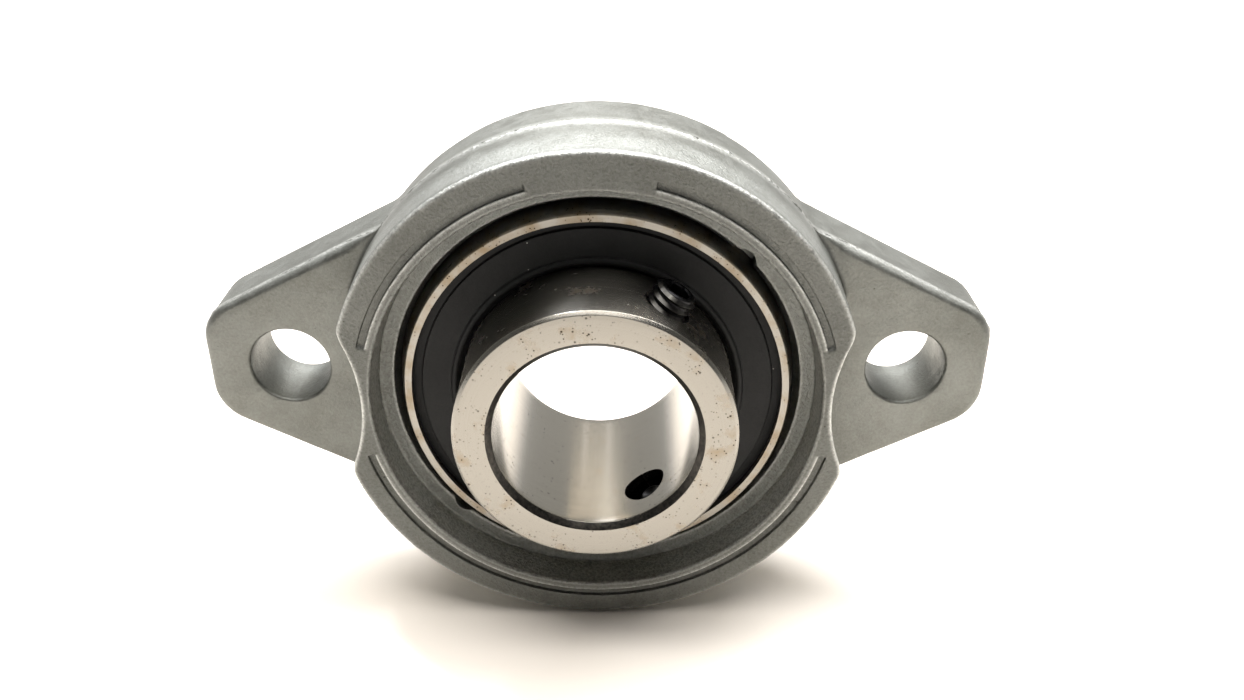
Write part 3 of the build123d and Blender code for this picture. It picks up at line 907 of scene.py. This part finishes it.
def mark_wear_and_painted_light(mesh):
    """Stores on each point how rubbed the casting is there, with painted light (red), and the face's darker
    skin with painted shade (green).
    """
    places = vectors(mesh.vertices, "co") / MM
    radius = np.hypot(places[:, 0], places[:, 2])
    height = -places[:, 1]
    angles = np.arctan2(places[:, 2], places[:, 0])
    folded = np.arctan2(np.abs(places[:, 2]), np.abs(places[:, 0]))
    scoop = scoop_reach(folded)
    body = soft_less(body_radius(FACE_H) + 0 * scoop, scoop, 0.7)
    rim = soft_more(flange_radius(folded), body_radius(FLANGE_H) + 0 * scoop, 0.35)
    groove = groove_mask(angles)

    def close(at_radius, at_height, reach):
        return np.exp(-((radius - at_radius) ** 2 + (height - at_height) ** 2) / reach**2)

    wall = (radius > WALL_R_SHELF - 0.1) & (radius < WALL_R_FACE + 0.01) & (height > SHELF_H + 0.2)
    # Rubbed edges, with painted light on the whole counterbore wall and a painted highlight along the
    # groove's inner edge
    rubbed = np.maximum.reduce([
        0.95 * close(body - 0.1, FACE_H - 0.12, 0.24),
        0.7 * close(rim + 0.05, height, 0.1) * (height > 5.6) * (height < FLANGE_H + 0.1),
        0.4 * close(WALL_R_FACE + 0.1, FACE_H, 0.12),
        0.5 * close(MOUTH_R + 0.08, SHELF_H, 0.1),
        0.7 * wall,
        0.85 * groove * close(GROOVE_R - GROOVE_HALF - 0.08, FACE_H, 0.12),
    ])
    # The face keeps the dark skin of the casting, the tumbling chips having rubbed the flange paler
    on_shelf = (np.abs(height - SHELF_H) < 0.1) * (radius < WALL_R_SHELF)
    in_groove = groove * (np.abs(radius - GROOVE_R) < GROOVE_HALF - 0.03)
    # Besides the face's darker skin: painted shade on the shelf, at the foot of the body and on the groove
    # floor, and a painted shadow along the groove's outer wall
    dark_skin_and_painted_shade = np.maximum.reduce([
        0.5 * (height > FACE_H - 0.6),
        0.2 * on_shelf,
        0.5 * close(body + 0.1, FLANGE_H + 0.1, 0.3),
        0.2 * (in_groove * (height < FACE_H - 0.05) * (height > FACE_H - 1)),
        0.85 * groove * close(GROOVE_R + GROOVE_HALF, FACE_H - 0.2, 0.16),
    ])
    values = np.zeros((len(radius), 4), dtype=np.float32)
    values[:, 0] = rubbed
    values[:, 1] = dark_skin_and_painted_shade * (1 - 0.9 * rubbed)
    values[:, 3] = 1
    layer = mesh.color_attributes.new("wear_and_painted_light", "FLOAT_COLOR", "POINT")
    layer.data.foreach_set("color", values.ravel())


class BEARING_OT_housing(bpy.types.Operator):
    """Builds the die-cast housing with its flash, grooves and seat"""
    bl_idname = "bearing.housing"
    bl_label = "Cast housing"

    def execute(self, context):
        angles = np.linspace(0, 2 * math.pi, 900, endpoint=False)
        mesh = grid_mesh("housing_casting", casting_points(angles), 0.002)
        roughen(mesh, sizes().unevenness)
        mesh = carve(mesh, [bolt_cutter(-1), bolt_cutter(1)])
        mesh.name = "housing_casting"
        mark_wear_and_painted_light(mesh)
        piece = show("housing_casting", mesh, [tumbled_zinc()], angle=48)
        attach(piece, "housing")
        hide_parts("housing")
        return {"FINISHED"}


# Rings


def inner_ring_outline():
    """The inner ring's section: bore, raceway, nose and rounded chamfers."""
    half = math.sqrt(RACE_R**2 - (RACE_CENTRE_R - RING_R) ** 2)
    opening = math.asin(half / RACE_R)
    race = []
    for step in range(25):
        turn = opening * (1 - step / 12)
        race.append((RACE_CENTRE_R - RACE_R * math.cos(turn), SEAT_CENTRE - RACE_R * math.sin(turn), 0))
    corners = [
        (BORE_R, RING_BACK + 0.5, 0.15), (BORE_R + 0.5, RING_BACK, 0.12), (RING_R - 0.28, RING_BACK, 0.1),
        (RING_R, RING_BACK + 0.28, 0.12), *race, (RING_R, RING_FRONT - 0.28, 0.12),
        (RING_R - 0.28, RING_FRONT, 0.1), (BORE_R + 0.5, RING_FRONT, 0.1), (BORE_R, RING_FRONT - 0.5, 0.15)]
    return divided(rounded(corners), 0.8)


def radial_place(angle, radius):
    """The place of a radial axis in the nose: local Z points outwards from the bearing axis."""
    turn = math.radians(angle)
    outward = Vector((math.cos(turn), 0, math.sin(turn)))
    forward = Vector((0, -1, 0))
    axes = Matrix((forward, outward.cross(forward), outward)).transposed().to_4x4()
    origin = outward * radius * MM + Vector((0, -SCREW_H * MM, 0))
    return Matrix.Translation(origin) @ axes


def screw_hole_cutter(angle):
    """A set screw's hole, broken at the outside of the ring and at the bore."""
    outline = [(0, 6.0), (2.5, 6.0), (SCREW_HOLE_R + 0.16, 8.0), (SCREW_HOLE_R, 8.4)]
    outline += [(SCREW_HOLE_R, height) for height in (9.2, 10.0, 10.8)]
    outline += [(SCREW_HOLE_R, 11.3), (SCREW_HOLE_R + 0.22, 11.62), (SCREW_HOLE_R + 0.6, 12.4), (0, 12.4)]
    return spindle("screw_hole", outline, 96, radial_place(angle, 0))


def in_screw_hole(point):
    """Whether a point lies on the wall or the mouth of a set screw's hole."""
    for angle in SCREW_ANGLES.values():
        place = radial_place(angle, 0)
        axis = place.to_3x3().col[2]
        aside = (point - place.translation).cross(axis).length
        if aside < (SCREW_HOLE_R + 0.1) * MM and point.dot(axis) > 0:
            return True
    return False


class BEARING_OT_rings(bpy.types.Operator):
    """Builds the ground inner ring and finishes the outer ring"""
    bl_idname = "bearing.rings"
    bl_label = "Ground rings"

    def execute(self, context):
        mesh = turned("inner_ring_ground", inner_ring_outline(), 360)
        mesh = carve(mesh, [screw_hole_cutter(angle) for angle in SCREW_ANGLES.values()])
        honed = ground_steel("honed_bore_steel", 0.15, 0.002, 0.36, 0.3, marks=0.3, film_haze=0.05)
        flat = ground_steel("face_ground_steel", 0.2, 0.003, 0.46, 0.8)
        tapped = bpy.data.materials.get("black_oxide_steel") or blackened_steel()
        finishes = [nose_steel(), honed, flat, tapped, heat_scale()]
        piece = show("inner_ring_ground", mesh, finishes, angle=28)
        for face in mesh.polygons:
            radius = math.hypot(face.center.x, face.center.z) / MM
            face.material_index = 0
            if abs(face.normal.y) > 0.98:
                face.material_index = 2
            elif BORE_R + 0.03 < radius < BORE_R + 0.5 and abs(face.normal.y) > 0.25:
                face.material_index = 4
            elif radius < BORE_R + 0.2:
                face.material_index = 1
            elif in_screw_hole(face.center):
                face.material_index = 3
        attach(piece, "inner_ring")
        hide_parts("inner_ring")
        paint(frame["nodes"]["outer_ring"], ground_steel("outer_ring_ground_steel", 0.24, 0.004, 0.58, 0.8))
        return {"FINISHED"}


# Seals


def seal_outline(sign):
    """A seal's section: rim in the seat, flat cover, beaded lip. `sign` is -1 for the back seal."""
    bead = [(BEAD_R + BEAD_ROUND * math.cos(turn), COVER_H + BEAD_ROUND * math.sin(turn), 0)
            for turn in np.linspace(0.12, math.pi - 0.12, 12)]
    corners = [(15.7, 3.62, 0.0), (16.3, 3.62, 0.08), (16.3, 4.0, 0.1), (15.3, 4.0, 0.1),
               (15.3, COVER_H, 0.1), (12.84, COVER_H, 0.03), *bead, (12.08, 4.27, 0.03),
               (11.8, 3.95, 0.08), (11.8, 3.72, 0.05), (12.5, 3.72, 0), (12.5, 3.92, 0), (15.7, 3.92, 0)]
    outline = [np.array([radius, SEAT_CENTRE + sign * height]) for radius, height in rounded(corners)]
    return divided(outline, 0.6)


class BEARING_OT_seals(bpy.types.Operator):
    """Builds the moulded seals and finishes their steel cores"""
    bl_idname = "bearing.seals"
    bl_label = "Moulded seals"

    def execute(self, context):
        rubber = moulded_rubber()
        for side, sign in (("front", 1), ("back", -1)):
            name = f"seal_moulding_{side}"
            piece = show(name, turned(name, seal_outline(sign), 256), [rubber])
            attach(piece, "outer_ring")
            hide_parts(f"seal_rubber_{side}")
        core = pressed_steel("blanked_strip_steel", "#9b9a95", "#6d6c67", 0.32)
        for side in ("front", "back"):
            paint(frame["nodes"][f"seal_core_{side}"], core)
        return {"FINISHED"}


# Ball set


def rivet_tree(material):
    """A ring of rivets, each a shank with a dome on both ends, standing along Y."""
    tree, given = geometry_tree("Cage rivets", {
        "Count": "NodeSocketInt", "Pitch radius": "NodeSocketFloat", "Head radius": "NodeSocketFloat",
        "Grip": "NodeSocketFloat", "Height": "NodeSocketFloat", "First angle": "NodeSocketFloat",
    })
    ring = add(tree, "GeometryNodeMeshCircle", {"Vertices": given["Count"], "Radius": given["Pitch radius"]})
    dome = add(tree, "GeometryNodeMeshUVSphere", {
        "Segments": 24, "Rings": 12, "Radius": given["Head radius"]})
    rivet = add(tree, "GeometryNodeJoinGeometry")
    for end in (0.5, -0.5):
        reach = add(tree, "Math", {0: given["Grip"], 1: end}, operation="MULTIPLY")
        offset = add(tree, "CombineXYZ", {"Z": reach})
        wire(tree, rivet, {0: add(tree, "GeometryNodeTransform", {
            "Geometry": dome, "Translation": offset, "Scale": (1, 1, 0.36)})})
    thin = add(tree, "Math", {0: given["Head radius"], 1: 0.62}, operation="MULTIPLY")
    wire(tree, rivet, {0: add(tree, "GeometryNodeMeshCylinder", {
        "Vertices": 24, "Radius": thin, "Depth": given["Grip"]})})
    spread = add(tree, "GeometryNodeInstanceOnPoints", {"Points": ring, "Instance": rivet})
    spin = add(tree, "CombineXYZ", {"Z": given["First angle"]})
    turned_ring = add(tree, "GeometryNodeTransform", {"Geometry": spread, "Rotation": spin})
    back = add(tree, "Math", {0: given["Height"], 1: -1.0}, operation="MULTIPLY")
    lift = add(tree, "CombineXYZ", {"Y": back})
    stood = add(tree, "GeometryNodeTransform", {
        "Geometry": turned_ring, "Translation": lift, "Rotation": (math.pi / 2, 0, 0)})
    return finished(tree, stood, material)


class BEARING_OT_ball_set(bpy.types.Operator):
    """Builds the cage rivets and finishes the balls and the cage"""
    bl_idname = "bearing.ball_set"
    bl_label = "Ball set"

    def execute(self, context):
        steel = pressed_steel("pressed_cage_steel", colours().cage, "#74736e", 0.26)
        rivet_steel = pressed_steel("headed_rivet_steel", "#b3b2ad", "#7d7c77", 0.22)
        mesh = grown("cage_rivet_heads", bpy.data.meshes.new("empty"), rivet_tree(rivet_steel), {
            "Count": BALL_COUNT, "Pitch radius": PITCH_R * MM, "Head radius": sizes().rivet_head,
            "Grip": 0.72 * MM, "Height": SEAT_CENTRE * MM, "First angle": math.radians(FIRST_RIVET),
        })
        piece = show("cage_rivet_heads", mesh, [rivet_steel], angle=40)
        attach(piece, "cage")
        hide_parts("cage_rivets")
        ball = lapped_steel()
        for name, node in frame["nodes"].items():
            finish = ball if name.startswith("ball_") else steel if name.startswith("cage_") else None
            if finish and node.name != piece.name:
                paint(node, finish)
        return {"FINISHED"}


# Set screws


def thread_tree(material):
    """A screw thread: a diamond section swept along a helix and joined to the screw's core."""
    tree, given = geometry_tree("Set screw thread", {
        "Pitch": "NodeSocketFloat", "Length": "NodeSocketFloat", "Start": "NodeSocketFloat",
        "Core radius": "NodeSocketFloat", "Tooth": "NodeSocketFloat",
    })
    turns = add(tree, "Math", {0: given["Length"], 1: given["Pitch"]}, operation="DIVIDE")
    core = given["Core radius"]
    helix = add(tree, "GeometryNodeCurveSpiral", {
        "Resolution": 64, "Rotations": turns, "Start Radius": core, "End Radius": core,
        "Height": given["Length"]})
    upright = add(tree, "GeometryNodeSetCurveNormal", {"Curve": helix}, mode="Z_UP")
    tooth = add(tree, "GeometryNodeCurvePrimitiveCircle", {"Resolution": 4, "Radius": given["Tooth"]})
    swept = add(tree, "GeometryNodeCurveToMesh", {
        "Curve": upright, "Profile Curve": tooth, "Fill Caps": True})
    lift = add(tree, "CombineXYZ", {"Z": given["Start"]})
    joined = add(tree, "GeometryNodeJoinGeometry")
    placed = add(tree, "GeometryNodeTransform", {"Geometry": swept, "Translation": lift})
    for body in (placed, given["Geometry"]):
        wire(tree, joined, {0: body})
    return finished(tree, joined, material)


def hexagon(angles):
    """Radius of the hexagon socket's wall, 2 mm across flats."""
    return 1.0 / np.cos((angles + math.pi / 6) % (math.pi / 3) - math.pi / 6)


def hexagon_mouth(angles):
    """Radius of the broken mouth of the socket."""
    return hexagon(angles) * 0.4 + 0.72


def screw_core(name):
    """A set screw without its thread: cup point, core and hexagon socket."""
    outline = [(0, 0.35), (0.55, 0.12), (0.78, 0.0), (0.92, 0.03), (1.1, 0.2), (1.5, 0.62),
               (SCREW_CORE_R, 0.75), (SCREW_CORE_R, 3.2), (SCREW_CORE_R, 3.72), (1.55, 3.86), (1.46, 3.95),
               (1.35, 3.98), (1.3, 3.98), (hexagon_mouth, 3.97), (hexagon, 3.85), (hexagon, 3.0),
               (hexagon, 2.12), (0.6, 1.95), (0, 1.9)]
    return spindle(name, outline, 96, Matrix.Identity(4))


class BEARING_OT_set_screws(bpy.types.Operator):
    """Builds the two blackened set screws with their threads"""
    bl_idname = "bearing.set_screws"
    bl_label = "Set screws"

    def execute(self, context):
        spec = sizes()
        oxide = bpy.data.materials.get("black_oxide_steel") or blackened_steel()
        tree = thread_tree(oxide)
        for name, angle in SCREW_ANGLES.items():
            mesh = grown(name + "_threaded", screw_core(name), tree, {
                "Pitch": spec.thread_pitch, "Length": 3.0 * MM, "Start": 0.72 * MM,
                "Core radius": SCREW_CORE_R * MM, "Tooth": spec.thread_tooth,
            })
            mesh.transform(radial_place(angle, SCREW_TIP_R))
            piece = show(name + "_threaded", mesh, [oxide], angle=30)
            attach(piece, name)
            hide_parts(name)
        return {"FINISHED"}


# Stage


def studio_light():
    """Soft light all round: bright overhead and behind, dim where the camera stands, a white backdrop."""
    world = bpy.data.worlds.new("soft_studio")
    bpy.context.scene.world = world
    world.use_nodes = True
    tree = world.node_tree
    tree.nodes.clear()
    toward = add(tree, "TexCoord").outputs["Generated"]
    depth = add(tree, "SeparateXYZ", {"Vector": toward}).outputs["Y"]
    behind = add(tree, "MapRange", {
        "Value": depth, "From Min": -0.25, "From Max": 0.45, "To Min": 0.16, "To Max": 0.95})
    facing = add(tree, "VectorMath", {0: toward, 1: (0.05, -0.62, 0.78)}, operation="DOT_PRODUCT")
    dim = add(tree, "MapRange", {
        "Value": facing.outputs["Value"], "From Min": 0.66, "From Max": 0.9, "To Min": 1.0, "To Max": 0.1},
        interpolation_type="SMOOTHSTEP")
    strength = add(tree, "Math", {0: behind, 1: dim}, operation="MULTIPLY")
    soft = add(tree, "Background", {"Color": rgba("#fffdf8"), "Strength": strength})
    plain = add(tree, "Background", {"Color": (1, 1, 1, 1), "Strength": 1.0})
    seen = add(tree, "LightPath").outputs["Is Camera Ray"]
    both = add(tree, "MixShader", {0: seen, 1: soft, 2: plain})
    add(tree, "OutputWorld", {"Surface": both})


def panel_light(name, place, target, wide, high, power, tint):
    """A rectangular soft light that faces a point, sizes in millimetres."""
    data = bpy.data.lights.new(name, "AREA")
    data.shape = "RECTANGLE"
    data.size = wide * MM
    data.size_y = high * MM
    data.energy = power
    data.color = linear(tint)
    light = in_scene(name, data)
    light.location = Vector(place) * MM
    direction = (Vector(target) - Vector(place)).normalized()
    light.rotation_euler = direction.to_track_quat("-Z", "Y").to_euler()
    light.visible_camera = False


def product_camera():
    """The camera: looking down at the unit from in front, level but for a trace of roll."""
    azimuth = math.radians(0.075)
    elevation = math.radians(28.291)
    roll = math.radians(0.2375)
    target = Vector((2.17, -7.0, 1.72)) * MM
    distance = 102.75 * MM
    forward = Vector((math.sin(azimuth), math.cos(azimuth), 0)) * math.cos(elevation)
    forward.z = -math.sin(elevation)
    level = forward.cross(Vector((0, 0, 1))).normalized()
    above = level.cross(forward)
    right = level * math.cos(roll) + above * math.sin(roll)
    up = above * math.cos(roll) - level * math.sin(roll)
    data = bpy.data.cameras.new("product_camera")
    data.lens = 32.93
    data.sensor_width = 36.0
    data.clip_start = 0.005
    data.clip_end = 20
    camera = in_scene("product_camera", data)
    camera.matrix_world = Matrix.Translation(target - forward * distance) @ Matrix(
        (right, up, -forward)).transposed().to_4x4()
    bpy.context.scene.camera = camera


class BEARING_OT_stage(bpy.types.Operator):
    """Lays the floor and sets the light and the camera"""
    bl_idname = "bearing.stage"
    bl_label = "Stage"

    def execute(self, context):
        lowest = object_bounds()[0][2]
        mesh = bpy.data.meshes.new("floor")
        square = ((-1, -1), (1, -1), (1, 1), (-1, 1))
        corners = [(FLOOR_REACH * x, FLOOR_REACH * y, lowest) for x, y in square]
        mesh.from_pydata(corners, [], [(0, 1, 2, 3)])
        floor = show("floor", mesh, [matt_card()])
        floor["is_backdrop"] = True
        studio_light()
        panel_light("back_softbox", (70, 150, 330), (0, 0, 0), 480, 200, 3.4, "#fdfdff")
        panel_light("overhead_softbox", (-20, -70, 360), (0, -20, 0), 360, 200, 1.65, "#fffcf8")
        panel_light("window_left", (-110, 100, 380), (0, -15, 10), 22, 120, 1.1, "#f4f8ff")
        panel_light("warm_blind", (-25, 307, 228), (0, -17, -8.5), 300, 26, 0.06, "#ffe9c9")
        for side in (-1, 1):
            panel_light("ceiling_lamp", (side * 52, 340, 204), (0, -3, -8.5), 20, 14, 0.003, "#ffffff")
        panel_light("window_right", (170, 90, 330), (0, -15, 10), 24, 70, 0.2, "#fff1dd")
        product_camera()
        context.scene.view_settings.view_transform = "Standard"
        context.scene.view_settings.look = "None"
        return {"FINISHED"}


class BEARING_PT_sidebar(bpy.types.Panel):
    """Sidebar panel that lists the bearing's pieces and their settings"""
    bl_label = "Flange mount bearing"
    bl_idname = "BEARING_PT_sidebar"
    bl_space_type = "VIEW_3D"
    bl_region_type = "UI"
    bl_category = "Bearing"

    def draw(self, context):
        layout = self.layout
        for operator in OPERATORS:
            layout.operator(operator.bl_idname)
        for group in (context.scene.bearing_sizes, context.scene.bearing_colours):
            box = layout.box()
            for name in group.__annotations__:
                box.prop(group, name)


OPERATORS = (BEARING_OT_housing, BEARING_OT_rings, BEARING_OT_seals, BEARING_OT_ball_set,
             BEARING_OT_set_screws, BEARING_OT_stage)
CLASSES = (BearingSizes, BearingColours) + OPERATORS + (BEARING_PT_sidebar,)


def register():
    """Adds the classes and the scene's settings."""
    for cls in CLASSES:
        bpy.utils.register_class(cls)
    bpy.types.Scene.bearing_sizes = bpy.props.PointerProperty(type=BearingSizes)
    bpy.types.Scene.bearing_colours = bpy.props.PointerProperty(type=BearingColours)


def unregister():
    """Takes the classes and the settings away again."""
    del bpy.types.Scene.bearing_colours
    del bpy.types.Scene.bearing_sizes
    for cls in reversed(CLASSES):
        bpy.utils.unregister_class(cls)


def main():
    """Builds every piece, then the stage."""
    register()
    bpy.ops.bearing.housing()
    bpy.ops.bearing.rings()
    bpy.ops.bearing.seals()
    bpy.ops.bearing.ball_set()
    bpy.ops.bearing.set_screws()
    bpy.ops.bearing.stage()


if __name__ == "__main__":
    main()
